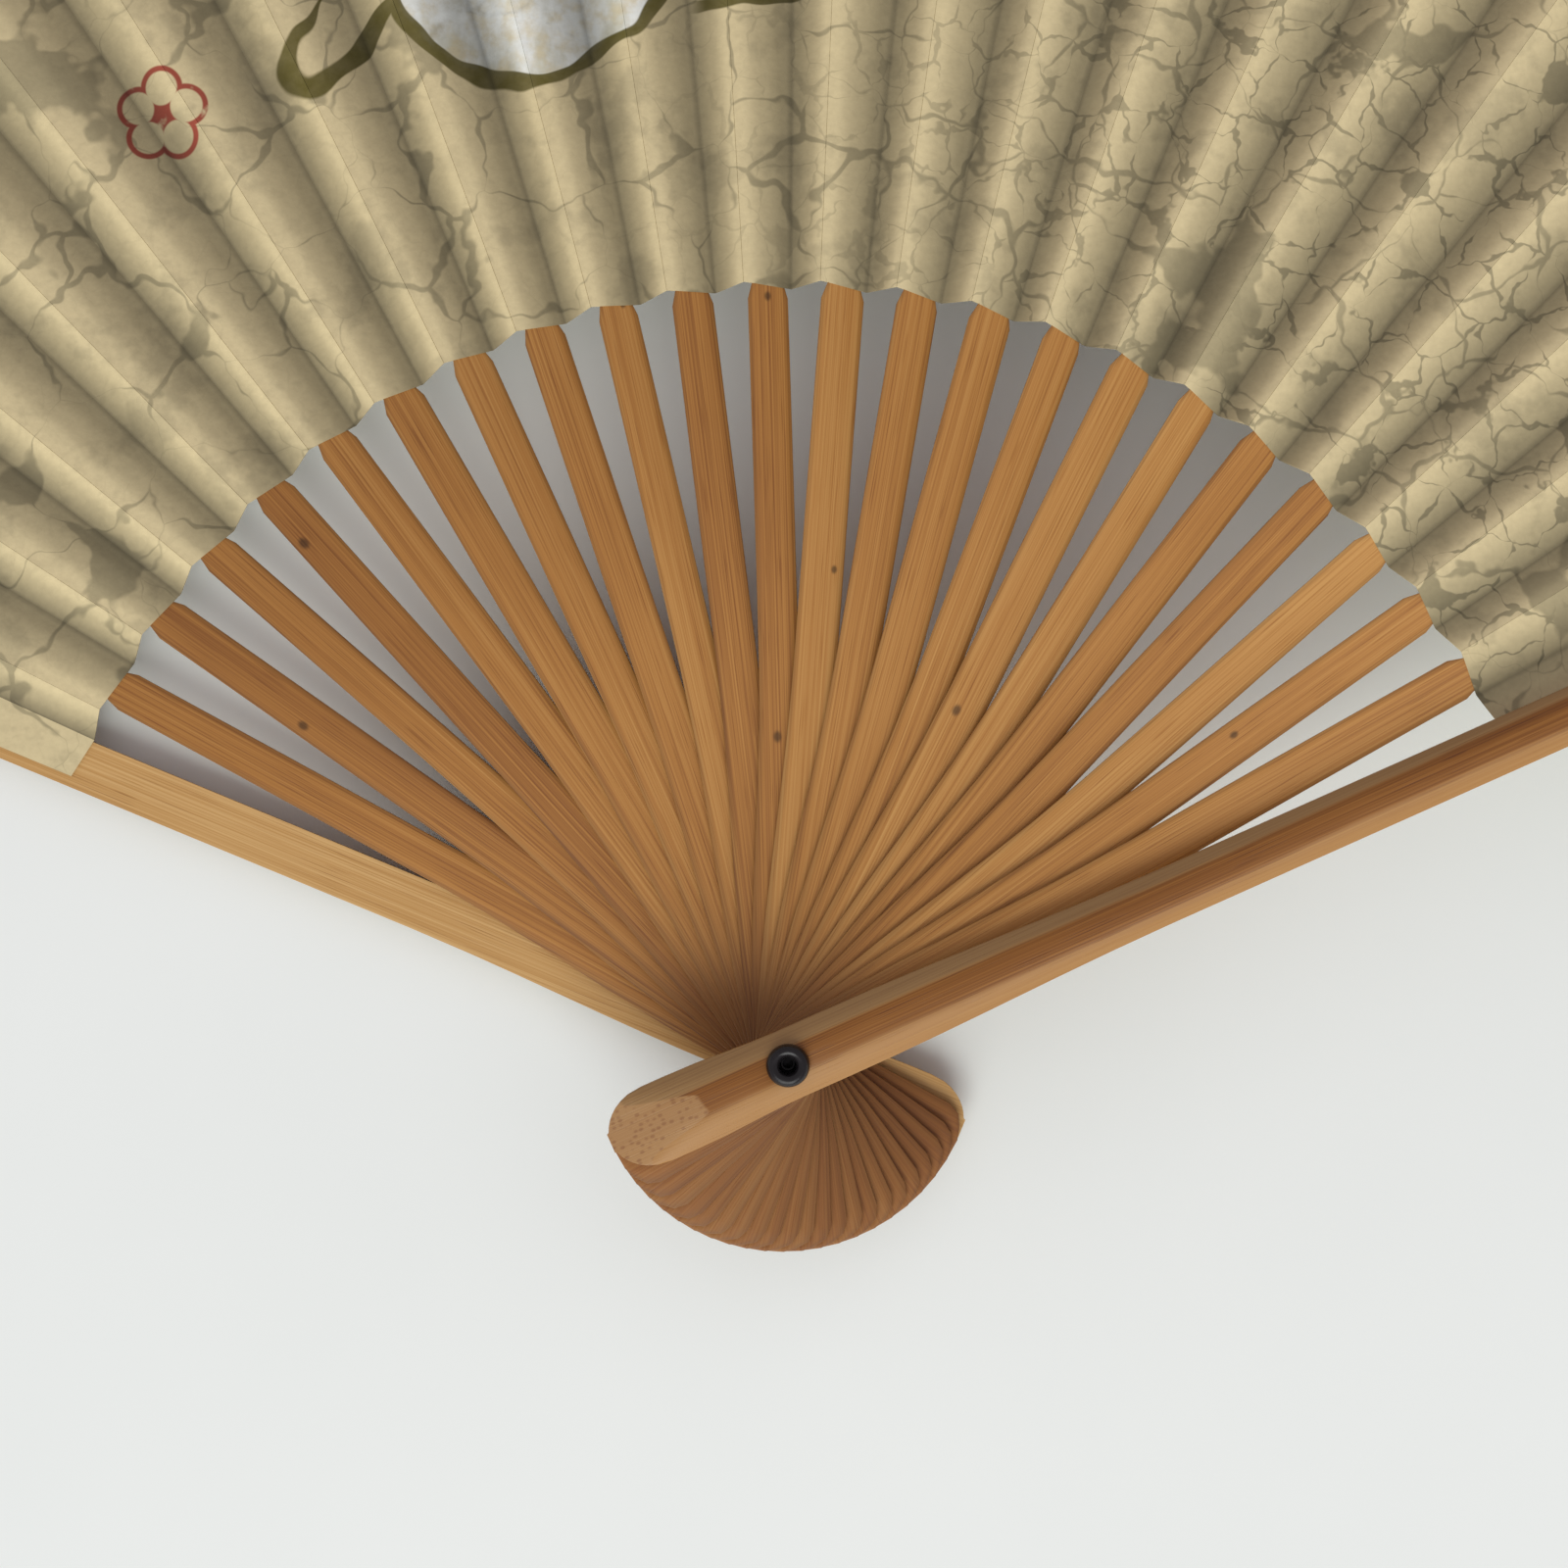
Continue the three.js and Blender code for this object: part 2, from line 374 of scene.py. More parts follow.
# %% [markdown]
# The paper zigzags over the staves. Each stave carries a wide panel that slopes down from a mountain
# fold on its left to a valley fold on its right, and a steeper free panel climbs from there to the
# next mountain. All folds run straight at the rivet, so a fold's height grows with its radius. Near
# the two guards the folds flatten, so that the closed fan fits between them.

# %% Fold heights
LEAF_INNER = 85 * MM
LEAF_OUTER = 203 * MM
FOLD_SLOPE = 0.0112  # rise of a mountain, or drop of a valley, per unit of radius
GUARD_RAMP = 0.0018  # how much of that slope each stave away from a guard may use
ROUNDING = 0.30  # 0 gives knife-edged folds and 1 gives sine waves
PANEL_SHARE = 0.645  # share of the angle from one stave to the next that its own panel covers
PANEL_SHARE_LOSS = 0.0027  # by how much that share falls from each stave to the next


def rise(k):
    return min(FOLD_SLOPE, GUARD_RAMP * (STAVES - k))


def drop(k):
    return min(FOLD_SLOPE, GUARD_RAMP * max(k - 0.5, 0))  # rib 1 lies close over the rear panel


def half_panel(k):
    """Half of the angle that stave k's own paper panel covers."""
    step_here = steps[min(max(k - 1, 0), STAVES - 1)]
    return step_here * (PANEL_SHARE - PANEL_SHARE_LOSS * k) / 2


def polar(radius, angle, z):
    return Vector((radius * math.cos(angle), radius * math.sin(angle), z))


def mountain(k, radius):
    return polar(radius, azimuth[k] + half_panel(k), height[k] + rise(k) * radius)


def valley(k, radius):
    return polar(radius, azimuth[k] - half_panel(k), height[k] - drop(k) * radius)


def smooth(x):
    x = min(max(x, 0.0), 1.0)
    return x * x * (3 - 2 * x)


print("pleat depth at the rim in mm:", round(1000 * 2 * FOLD_SLOPE * LEAF_OUTER, 1))

# %% [markdown]
# ## Mesh helpers
# Every stave and paper panel is a strip, so each starts as a flat grid whose columns run along the
# piece and whose rows run across it. A helper hands back the grid's vertices by column and row, and
# each piece then moves them to its own outline. Extruding the sheet gives it thickness.

# %% Grid, extrusion and finishing
def unit_grid(columns, rows):
    """A bmesh grid, and its vertices by (column, row). Each vertex also has a number, and a mark
    from 0 to 1 that the finishes read."""
    bm = bmesh.new()
    marker = bm.verts.layers.int.new("number")
    bm.verts.layers.float.new("mark")
    bmesh.ops.create_grid(bm, x_segments=columns, y_segments=rows, size=0.5)
    found = {}
    for number, vertex in enumerate(bm.verts):
        vertex[marker] = number
        column = round((vertex.co.x + 0.5) * columns)
        row = round((vertex.co.y + 0.5) * rows)
        found[column, row] = vertex
    assert len(found) == (columns + 1) * (rows + 1)
    return bm, found


def thicken(bm, found):
    """Extrudes the whole sheet. Returns the new upper vertices by (column, row)."""
    marker = bm.verts.layers.int["number"]
    place = {vertex[marker]: key for key, vertex in found.items() if vertex.is_valid}
    made = bmesh.ops.extrude_face_region(bm, geom=list(bm.faces))["geom"]
    upper = [item for item in made if isinstance(item, bmesh.types.BMVert)]
    return {place[vertex[marker]]: vertex for vertex in upper}


def write_uv(bm, layer_name, place):
    """Stores a UV map: place(vertex) gives each corner's coordinates in metres."""
    layer = bm.loops.layers.uv.new(layer_name)
    for face in bm.faces:
        for corner in face.loops:
            corner[layer].uv = place(corner.vert)


SHARP_ANGLE = math.radians(25)  # edges that turn by more than this stay crisp
RIM_ANGLE = 1.2  # radians; edges that turn by more than this are rims to be bevelled


def make_piece(name, bm, finish, body=None, tone=0.0):
    """Turns a bmesh into a finished piece that rides on a body."""
    bmesh.ops.recalc_face_normals(bm, faces=bm.faces)
    bm.normal_update()
    for face in bm.faces:
        face.smooth = True
    for edge in bm.edges:
        edge.smooth = len(edge.link_faces) == 2 and edge.calc_face_angle() < SHARP_ANGLE
    mesh = bpy.data.meshes.new(name)
    bm.to_mesh(mesh)
    bm.free()
    mesh.materials.append(finish)
    values = mesh.attributes.new("tone", "FLOAT", "POINT")
    values.data.foreach_set("value", [tone] * len(mesh.vertices))
    piece = bpy.data.objects.new(name, mesh)
    scene.collection.objects.link(piece)
    if body:
        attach(piece, body)
    return piece


def bevel_rims(bm, width):
    """Rounds the long rims, where a flat side meets the outline."""
    bm.normal_update()
    rims = [e for e in bm.edges if len(e.link_faces) == 2 and e.calc_face_angle() > RIM_ANGLE]
    bmesh.ops.bevel(
        bm,
        geom=rims,
        offset=width,
        offset_type="OFFSET",
        segments=2,
        profile=0.5,
        affect="EDGES",
        material=-1,
        clamp_overlap=True,
    )


print("mesh helpers are ready")

# %% [markdown]
# ## Ribs
# A rib is a slip of split bamboo half a millimetre thick: a wide rounded tail, a hole for the rivet,
# a waist, and a straight blade that twists a little so that it enters the paper at the slope of its
# panel. Inside the paper it is pared down to a thin tongue. No two are cut quite alike, so a seeded
# random source varies the widths and bends each one a hair sideways.

# %% Rib outline
TAIL = 20.9 * MM
TAIL_HALF = 3.8 * MM
TAIL_BULGE = 0.5 * MM  # extra half width at the middle of the tail
RIB_TAIL_ROUNDING = 2.6 * MM
GUARD_TAIL_ROUNDING = 5.5 * MM
TAIL_END_SHARE = 0.25  # width left at the very end of the tail
RIB_TAIL_ANGLES = (0, 12, 20, 29, 40, 52)  # degrees round the tail, one column at each
GUARD_TAIL_ANGLES = (0, 5, 9, 13, 17, 21, 25, 30, 35, 42, 52)
BLADE_HALF = 2.25 * MM
TONGUE_HALF = 1.5 * MM
TONGUE_THICKNESS = 0.22 * MM
PIN_HOLE = 1.8 * MM
WAIST_START = 7 * MM
WAIST_END = 44 * MM
TONGUE_END = LEAF_OUTER - 4 * MM
THINNING_START = 60 * MM  # from here to the tongue a rib loses thickness
THINNING_LENGTH = 26 * MM
SHOULDER = 84.5 * MM  # where the rib's width is cut back to the tongue's
SHOULDER_LENGTH = 1 * MM
RIB_ROWS = 4
RIB_BEVEL = 0.09 * MM


def stave_columns(reach, tail_angles):
    """Positions along a stave: close together round the tail and the pin."""
    tail = [-TAIL * math.cos(math.radians(a)) for a in tail_angles]
    pin = [-9 * MM, -5.5 * MM, -2.6 * MM, 0, 2.6 * MM, 6 * MM]
    blade = [x * MM for x in (11, 16, 21, 26, 31, 37, 44, 51, 58, 65, 71, 76, 80, 83.5)]
    inside = [x * MM for x in (86, 92, 110, 140, 170)]
    return [x for x in tail + pin + blade + inside if x < reach - 1 * MM] + [reach]


def tail_share(x, rounding):
    """How much of the full width is left near the tail end, which closes almost as an ellipse."""
    inward = min((x + TAIL) / rounding, 1.0)
    return max(TAIL_END_SHARE, (1 - (1 - inward) ** 2.2) ** 0.55)


def stave_half_width(x, tail_half, blade_half, rounding):
    waist = smooth((x - WAIST_START) / (WAIST_END - WAIST_START))
    bulge = TAIL_BULGE * (1 - smooth((x + 12 * MM) / (12 * MM)))
    return (tail_half + bulge + (blade_half - tail_half) * waist) * tail_share(x, rounding)


print("columns along a rib:", len(stave_columns(TONGUE_END, RIB_TAIL_ANGLES)))

# %% Rib builder
TWIST_START = 30 * MM
PANEL_SLOPE = 1 + ROUNDING  # the middle of a rounded panel is this much steeper than its average


def rib_slope(k):
    """Rise across rib k, from right to left, per unit of width, where it enters the paper."""
    return PANEL_SLOPE * (rise(k) + drop(k)) / (2 * half_panel(k))


def rib_thickness(x):
    thinning = smooth((x - THINNING_START) / THINNING_LENGTH)
    return RIB_THICKNESS + (TONGUE_THICKNESS - RIB_THICKNESS) * thinning


def open_pin_hole(bm, found, pin_column, middle_row, reach):
    """Moves the vertices round the pin onto a circle and deletes those inside it."""
    inside = []
    for column, row in found:
        across = (row - middle_row) / reach
        direction = Vector((column - pin_column, across, 0))
        if max(abs(direction.x), abs(across)) == 1:
            found[column, row].co = PIN_HOLE * direction.normalized()
        elif direction.x == 0 and abs(across) < 1:
            inside.append(found[column, row])
    bmesh.ops.delete(bm, geom=inside, context="VERTS")


def build_rib(k, dice):
    columns = stave_columns(TONGUE_END, RIB_TAIL_ANGLES)
    bm, found = unit_grid(len(columns) - 1, RIB_ROWS)
    mark = bm.verts.layers.float["mark"]
    blade_half = BLADE_HALF * dice.uniform(0.95, 1.05)
    tail_half = TAIL_HALF * dice.uniform(0.97, 1.02)
    bow = dice.uniform(-0.25, 0.25) * MM
    for (column, row), vertex in found.items():
        x = columns[column]
        half = stave_half_width(x, tail_half, blade_half, RIB_TAIL_ROUNDING)
        half += (TONGUE_HALF - half) * smooth((x - SHOULDER) / SHOULDER_LENGTH)
        sway = bow * math.sin(math.pi * min(max(x / LEAF_INNER, 0), 1))
        share = 2 * row / RIB_ROWS - 1
        vertex.co = (x, half * share + sway, 0)
        vertex[mark] = abs(share)
    open_pin_hole(bm, found, columns.index(0), RIB_ROWS // 2, 1)
    for place, upper in thicken(bm, found).items():
        half = rib_thickness(upper.co.x) / 2
        upper.co.z = half
        found[place].co.z = -half
    bevel_rims(bm, RIB_BEVEL)
    write_uv(bm, "grain", lambda v: (v.co.x, v.co.y + RIB_UV_STEP * k))
    for vertex in bm.verts:
        x, y, z = vertex.co
        share = smooth((x - TWIST_START) / (LEAF_INNER - TWIST_START))
        lift = (rise(k) - drop(k)) / 2 * x * share
        vertex.co.z = z + lift + rib_slope(k) * share * y
    bmesh.ops.rotate(bm, verts=bm.verts, matrix=Matrix.Rotation(azimuth[k], 3, "Z"))
    bmesh.ops.translate(bm, verts=bm.verts, vec=(0, 0, height[k]))
    return bm


RIB_TONES = (  # how light each rib is against the others, from the rear guard on
    *(-0.35, -0.8, -0.4, -0.75, 0.0, 0.05, 0.35, 0.0, 0.35, -0.55, -0.6),
    *(0.65, 0.0, 0.1, 0.25, 0.5, 0.65, -0.1, -0.4, 0.95, 0.1, 0.3),
)
for k in RIBS:
    name = f"rib_{k:02d}"
    bm = build_rib(k, random.Random(40 + k))
    tone = RIB_TONES[k - 1]
    rib = make_piece(name + "_slip", bm, rib_bamboo, body_of_stave[k], tone)
    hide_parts(name)
print("faces in a rib:", len(rib.data.polygons))

# %% [markdown]
# ## Guards
# The two outer staves are thicker slips cut from the wall of the culm. The side towards the ribs is
# flat; the outer side keeps the culm's skin in the middle and is pared down along both edges, so it
# reads as three long bands. The upper pared edge also gets painted shade and the lower one painted
# light, as if lit from the near side. At the tail the skin is sliced away at a low angle, which bares
# the cut ends of the fibre bundles as rows of dots.

# %% Guard sizes and bamboo
GUARD_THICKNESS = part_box("front_guard")[1].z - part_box("front_guard")[0].z
GUARD_REACH = 204 * MM
GUARD_HALF = 2.95 * MM
EDGE_THICKNESS = 1.35 * MM
FLAT_SHARE = 0.42  # share of the half width that keeps the skin at full height
CROWN_DROP = 0.035  # share of the thickness by which the skin is rounded off
TIP_LENGTH = 2 * MM  # rounded stretch at the outer end
TIP_ROUNDING = 0.65  # 0 leaves the outer end square and 1 makes it a half ellipse
GUARD_ROWS = 12
GUARD_BEVEL = 0.15 * MM
REAR_HALF = 2.8 * MM
FACET_START = -10.5 * MM
FACET_FALL = 7.6 * MM  # how much nearer to the tail end the facet meets the pared edges
FACET_END_THICKNESS = 0.9 * MM

# the pale inside of the culm, and its brown skin
FLESH_COLOURS = ((0.26, 0.115, 0.028), (0.48, 0.262, 0.080), (0.64, 0.41, 0.165))
SKIN_COLOURS = ((0.12, 0.036, 0.005), (0.220, 0.080, 0.010), (0.35, 0.155, 0.030))
# the pared edges in two tones: the upper one dark with painted shade, the lower one lighter with painted
# light from the near side
UPPER_EDGE_SHADED = (0.225, 0.132, 0.054)
LOWER_EDGE_LIT = (0.33, 0.157, 0.041)
FACET_WOOD = (0.37, 0.203, 0.078)
BUNDLE_END = (0.20, 0.078, 0.025)
BUNDLES_PER_METRE = (1150, 1750, 1)
SKIN_LOW = (-0.66, -0.30)  # shares of the half width between which the skin gives way to an edge
SKIN_HIGH = (0.52, 0.70)


def facet_mask(across, along, drift):
    """1 on the sliced end of the tail, whose border bends back towards both edges."""
    sideways = across.size() / GUARD_HALF
    fall = ((sideways - FLAT_SHARE) / (1 - FLAT_SHARE)).step(-0.2, 1.3)
    border = FACET_START - fall * FACET_FALL + (drift - 0.5) * 0.006
    return (border - along).step(-0.0002, 0.0003)


def bundle_ends(start, grain):
    """1 on the dots of the cut fibre bundles."""
    place = stretched(start, grain, BUNDLES_PER_METRE)
    inputs = {"Vector": place, "Scale": 1.0, "Randomness": 0.5}
    return start.node("TexVoronoi", {"feature": "F1"}, inputs).step(0.46, 0.16)


def guard_finish():
    material, start, shader = start_finish("guard_bamboo")
    grain = start.node("UVMap", {"uv_map": "grain"})
    lightness, height = bamboo_grain(start, grain)
    along, across = parts(start, grain)
    outside = attribute(start, "mark").step(0.4, 0.6)
    drift = noise(stretched(start, grain, (16, 60, 1), (9, 4, 0)), 1.0)
    share = across / GUARD_HALF + (drift - 0.5) * 0.5
    lower = share.step(SKIN_LOW[1], SKIN_LOW[0])
    upper = share.step(SKIN_HIGH[0], SKIN_HIGH[1])
    skin = (1.0 - lower) * (1.0 - upper)
    facet = facet_mask(across, along, drift) * outside
    colour = bamboo_ramp(start, lightness, FLESH_COLOURS)
    brown = bamboo_ramp(start, lightness, SKIN_COLOURS, ends=(0.15, 0.9))
    colour = mix(skin * outside, colour, brown)
    # painted shade on the upper pared edge, painted light on the lower one
    colour = mix(upper * outside * 0.75, colour, UPPER_EDGE_SHADED)
    colour = mix(lower * outside * 0.8, colour, LOWER_EDGE_LIT)
    colour = mix(facet * 0.85, colour, FACET_WOOD)
    colour = mix(facet * bundle_ends(start, grain) * 0.55, colour, BUNDLE_END)
    feed(shader, "Base Color", colour)
    bamboo_skin(start, shader, height, 0.46)
    return material


guard_bamboo = guard_finish()
print("finish:", guard_bamboo.name)

# %% Guard builder
def guard_columns():
    blade = [x * MM for x in (70, 95, 120, 145, 170, 190, 199, 202, 203.3)]
    return stave_columns(51 * MM, GUARD_TAIL_ANGLES) + blade + [GUARD_REACH]


def guard_skin(x, share):
    """Thickness at x, where share runs from -1 to 1 across the guard."""
    fall = max(0.0, abs(share) - FLAT_SHARE) / (1 - FLAT_SHARE)
    crown = GUARD_THICKNESS * (1 - CROWN_DROP * min(abs(share) / FLAT_SHARE, 1) ** 2)
    skin = crown - (crown - EDGE_THICKNESS) * fall**1.25
    facet_slope = (GUARD_THICKNESS - FACET_END_THICKNESS) / (TAIL + FACET_START)
    facet = FACET_END_THICKNESS + (x + TAIL) * facet_slope
    return min(skin, max(facet, FACET_END_THICKNESS))


def build_guard(stave, outward, half_width):
    """outward is 1 where the skin faces up and -1 where it faces down."""
    columns = guard_columns()
    bm, found = unit_grid(len(columns) - 1, GUARD_ROWS)
    turns = [math.pi * (row / GUARD_ROWS - 0.5) for row in range(GUARD_ROWS + 1)]
    shares = [math.sin(turn_here) for turn_here in turns]
    for (column, row), vertex in found.items():
        x = columns[column]
        half = stave_half_width(x, TAIL_HALF, half_width, GUARD_TAIL_ROUNDING)
        tip = (x - (GUARD_REACH - TIP_LENGTH)) / TIP_LENGTH
        half *= math.sqrt(1 - TIP_ROUNDING * max(tip, 0) ** 2)
        vertex.co = (x, half * shares[row], 0)
    open_pin_hole(bm, found, columns.index(0), GUARD_ROWS // 2, 2)
    mark = bm.verts.layers.float["mark"]
    for (column, row), upper in thicken(bm, found).items():
        upper.co.z = outward * guard_skin(columns[column], shares[row])
        upper[mark] = 1.0
    bevel_rims(bm, GUARD_BEVEL)
    write_uv(bm, "grain", lambda v: (v.co.x, v.co.y))
    bmesh.ops.rotate(bm, verts=bm.verts, matrix=Matrix.Rotation(azimuth[stave], 3, "Z"))
    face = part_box("front_guard")[0].z if outward > 0 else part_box("rear_guard")[1].z
    bmesh.ops.translate(bm, verts=bm.verts, vec=(0, 0, face))
    return bm


rear = make_piece(
    "rear_guard_slip",
    build_guard(0, -1, REAR_HALF),
    guard_bamboo,
    "rear_guard",
    0.7,
)
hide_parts("rear_guard")
front = make_piece(
    "front_guard_slip",
    build_guard(STAVES, 1, GUARD_HALF),
    guard_bamboo,
    "front_guard",
    0.0,
)
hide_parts("front_guard")
print("faces in a guard:", len(front.data.polygons))

# %% [markdown]
# ## Rivet
# The rivet is a glossy black pin in two halves: an eyelet whose domed ring shows on the front guard,
# and a closed stud behind. Both are turned parts, so each is one profile spun about the pin's axis.

# %% Lacquer and turned parts
LACQUER_DARK = (0.006, 0.005, 0.006)
LACQUER_WORN = (0.014, 0.012, 0.013)


def lacquer_finish():
    material, start, shader = start_finish("rivet_lacquer")
    place = start.node("TexCoord", None, None, output=3)
    scuff = noise(place, 900.0, detail=4.0)
    feed(shader, "Roughness", 0.24 + scuff.step(0.45, 0.75) * 0.2)
    shader.inputs["Specular IOR Level"].default_value = 0.32
    feed(shader, "Base Color", mix(scuff, LACQUER_DARK, LACQUER_WORN))
    return material


def turn(profile):
    """Spins a profile of (radius, height) points about the Z axis."""
    bm = bmesh.new()
    points = [bm.verts.new((radius, 0, z)) for radius, z in profile]
    edges = [bm.edges.new(pair) for pair in zip(points, points[1:])]
    bmesh.ops.spin(
        bm,
        geom=points + edges,
        cent=(0, 0, 0),
        axis=(0, 0, 1),
        angle=2 * math.pi,
        steps=48,
        use_merge=True,
    )
    bmesh.ops.remove_doubles(bm, verts=bm.verts, dist=1e-6)
    return bm


rivet_lacquer = lacquer_finish()
print("finish:", rivet_lacquer.name)

# %% Rivet ring
eyelet_low, eyelet_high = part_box("rivet_eyelet")
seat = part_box("front_guard")[1].z
RING_OUTER = 2.35 * MM
RING_BORE = 0.85 * MM
RING_RIM = 0.1 * MM  # height of the upright rim under the crown
SHANK = 1.6 * MM
ARC_STEP = 15  # degrees between the points of a rounded profile


def ring_profile():
    """A ring with a round crown: up the shank, over the dome, and back down the bore."""
    centre = (RING_OUTER + RING_BORE) / 2
    half = (RING_OUTER - RING_BORE) / 2
    base = seat + RING_RIM
    crown = []
    for degrees in range(0, 181, ARC_STEP):
        angle = math.radians(degrees)
        high = base + (eyelet_high.z - base) * math.sin(angle)
        crown.append((centre + half * math.cos(angle), high))
    foot = [(RING_BORE, eyelet_low.z), (SHANK, eyelet_low.z), (SHANK, seat), (RING_OUTER, seat)]
    return [*foot, *crown, foot[0]]


ring = make_piece("rivet_ring", turn(ring_profile()), rivet_lacquer, "rear_guard")
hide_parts("rivet_eyelet")
print("rivet ring, mm:", [round(1000 * v, 2) for v in (*eyelet_low, *eyelet_high)])

# %% Rivet stud
STUD_HEAD = 0.78 * MM
STUD_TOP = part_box("rivet_stud")[1].z - 2.2 * MM  # low in the ring, so that its bore looks dark
STUD_WELL = STUD_TOP - 5 * MM
STUD_SHANK = 0.75 * MM
WELL_RADIUS = 0.55 * MM


def stud_profile():
    """A shallow domed head, a shank, and a well in the top of the shank."""
    dome = [(0, 0)]
    for degrees in range(15, 91, ARC_STEP):
        angle = math.radians(degrees)
        dome.append((RING_OUTER * math.sin(angle) ** 0.7, STUD_HEAD * 0.8 * (1 - math.cos(angle))))
    shank = [(RING_OUTER, STUD_HEAD), (STUD_SHANK, STUD_HEAD), (STUD_SHANK, STUD_TOP)]
    well = [(WELL_RADIUS, STUD_TOP), (WELL_RADIUS, STUD_WELL), (0, STUD_WELL)]
    return dome + shank + well


stud = make_piece("rivet_pin", turn(stud_profile()), rivet_lacquer, "rear_guard")
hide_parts("rivet_stud")
print("rivet stud, mm:", [round(1000 * v, 2) for v in (STUD_HEAD, STUD_WELL, STUD_TOP)])

# %% [markdown]
# ## Marbled paper
# The leaf is cream paper printed with a crackle: pale cells parted by grey-green veins, small and
# crowded towards the front guard, large with hair-thin veins and cloudy patches towards the rear one.
# The pattern is printed on the flat sheet, so it is drawn in the leaf's own plan, a UV map in metres.
# Voronoi cells with distorted coordinates give the crackle.

# %% Paper colours and crackle
CREAM = (0.475, 0.402, 0.232)
VEIN = (0.225, 0.194, 0.112)
PATCH = (0.300, 0.256, 0.150)
OLIVE = (0.085, 0.071, 0.016)
WASH = (0.58, 0.610, 0.590)
WASH_THIN = (0.40, 0.405, 0.335)  # where the brush ran dry
VERMILION = (0.23, 0.036, 0.022)


def shaken(start, coordinates, scale, distance):
    """Coordinates pushed about by a noise, so that straight lines on them waver."""
    inputs = {"Vector": coordinates, "Scale": scale, "Detail": 2.0}
    push = start.node("TexNoise", None, inputs, output=1)
    push = start.node("VectorMath", {"operation": "SUBTRACT"}, {0: push, 1: (0.5, 0.5, 0.5)})
    push = start.node("VectorMath", {"operation": "SCALE"}, {0: push, 3: distance})
    return start.node("VectorMath", {"operation": "ADD"}, {0: coordinates, 1: push})


def cracks(start, coordinates, cell, width, seed):
    """1 on the veins between cells of the given size in metres, 0 inside them. The veins fade in
    and out, and fill the corners where three roomy cells meet."""
    shifted = moved(start, coordinates, (seed, seed, 0))
    bent = shaken(start, shifted, 1.9 / cell, 0.55 * cell)
    inputs = {"Vector": bent, "Scale": 1 / cell}
    edge = start.node("TexVoronoi", {"feature": "DISTANCE_TO_EDGE"}, inputs)
    centre = start.node("TexVoronoi", {"feature": "F1"}, inputs)
    swell = noise(moved(start, shifted, (3, 8, 0)), 1.2 / cell)
    line = (swell.step(0.38, 0.66) * width - edge).step(-0.010, 0.014)
    corner = (centre + (swell - 0.5) * 1.2).step(0.83, 0.91)
    return line.either(corner)


print("the crackle is ready")

# %% [markdown]
# A simple five-petalled blossom is brushed on the sheet in olive, with a pale wash inside, a bud and
# a twig beside it, and a small red blossom stamped to its left. A blossom is one petal repeated five
# times, so the angle about its centre is folded like a paper snowflake and one circle is drawn.

# %% Brush helpers
FLOWER_PLACE = (-0.027, 0.1425)  # on the sheet, in metres from the rivet
FLOWER_TURN = math.radians(-90)
PETAL_DISTANCE = 0.019
PETAL_RADIUS = 0.016
BUD_PLACE = (-0.0462, 0.1170)
BUD_TURN = math.radians(56)
BUD_HALF_LENGTH = 0.0098
BUD_HALF_WIDTH = 0.0036
TWIG_CENTRE = (-0.004, 0.150)
TWIG_RADIUS = 0.0340
STAMP_PLACE = (-0.0675, 0.1050)
STAMP_DISTANCE = 0.0029
STAMP_RADIUS = 0.0021
FINE_LINE = 0.0003


def local(start, plan, centre, turn=0.0):
    """Coordinates in metres from a centre on the sheet, turned by an angle."""
    offset = start.node("VectorMath", {"operation": "SUBTRACT"}, {0: plan, 1: (*centre, 0)})
    x, y = parts(start, offset)
    c, s = math.cos(turn), math.sin(turn)
    return x * c + y * s, y * c - x * s


def length(x, y):
    return (x * x + y * y).root()


def blossom(start, plan, centre, distance, radius, turn):
    """How far each spot lies outside five round petals and from the centre, and its folded angle."""
    x, y = local(start, plan, centre, turn)
    reach = length(x, y)
    folded = x.maths("PINGPONG", x.maths("ARCTAN2", y, x), math.pi / 5)
    petal_x = reach * folded.maths("COSINE", folded) - distance
    petal_y = reach * folded.maths("SINE", folded)
    return length(petal_x, petal_y) - radius, reach, folded


def stroke(distance, half_width):
    """1 within half_width of the line where distance is 0."""
    return (half_width - distance.size()).step(-0.00012, 0.00012)


print("brush helpers are ready")

# %% Brush painting
def flower(start, hand, half_width):
    """The inside of the large blossom, and its lines: outline, petal seams and short spokes."""
    outside, reach, folded = blossom(
        start, hand, FLOWER_PLACE, PETAL_DISTANCE, PETAL_RADIUS, FLOWER_TURN
    )
    inside = outside.step(0.0, -0.0006)
    seam = reach * folded.maths("SINE", math.pi / 5 - folded)
    seams = stroke(seam, half_width * 0.6) * inside * reach.step(0.006, 0.008)
    spoke = reach * folded.maths("SINE", folded.maths("PINGPONG", folded, math.pi / 15))
    spokes = stroke(spoke, FINE_LINE) * reach.step(0.010, 0.0095) * reach.step(0.003, 0.0035)
    return inside, stroke(outside, half_width).either(seams).either(spokes)


def bud_and_twig(start, hand, half_width):
    """The lines of an oval bud and of an arched twig."""
    along, across = local(start, hand, BUD_PLACE, BUD_TURN)
    bud = (length(along / BUD_HALF_LENGTH, across / BUD_HALF_WIDTH) - 1) * BUD_HALF_WIDTH
    x, y = local(start, hand, TWIG_CENTRE)
    twig = stroke(length(x, y) - TWIG_RADIUS, half_width * 0.9)
    twig = twig * x.step(-0.006, -0.004) * x.step(0.009, 0.006) * y.step(0.0, -0.001)
    return stroke(bud, half_width * 0.9).either(twig)


def stamp(start, plan):
    """The lines of the small stamped blossom, and its dot."""
    outside, reach = blossom(
        start, plan, STAMP_PLACE, STAMP_DISTANCE, STAMP_RADIUS, math.radians(90)
    )[:2]
    return stroke(outside, FINE_LINE).either(reach.step(0.0010, 0.0007))


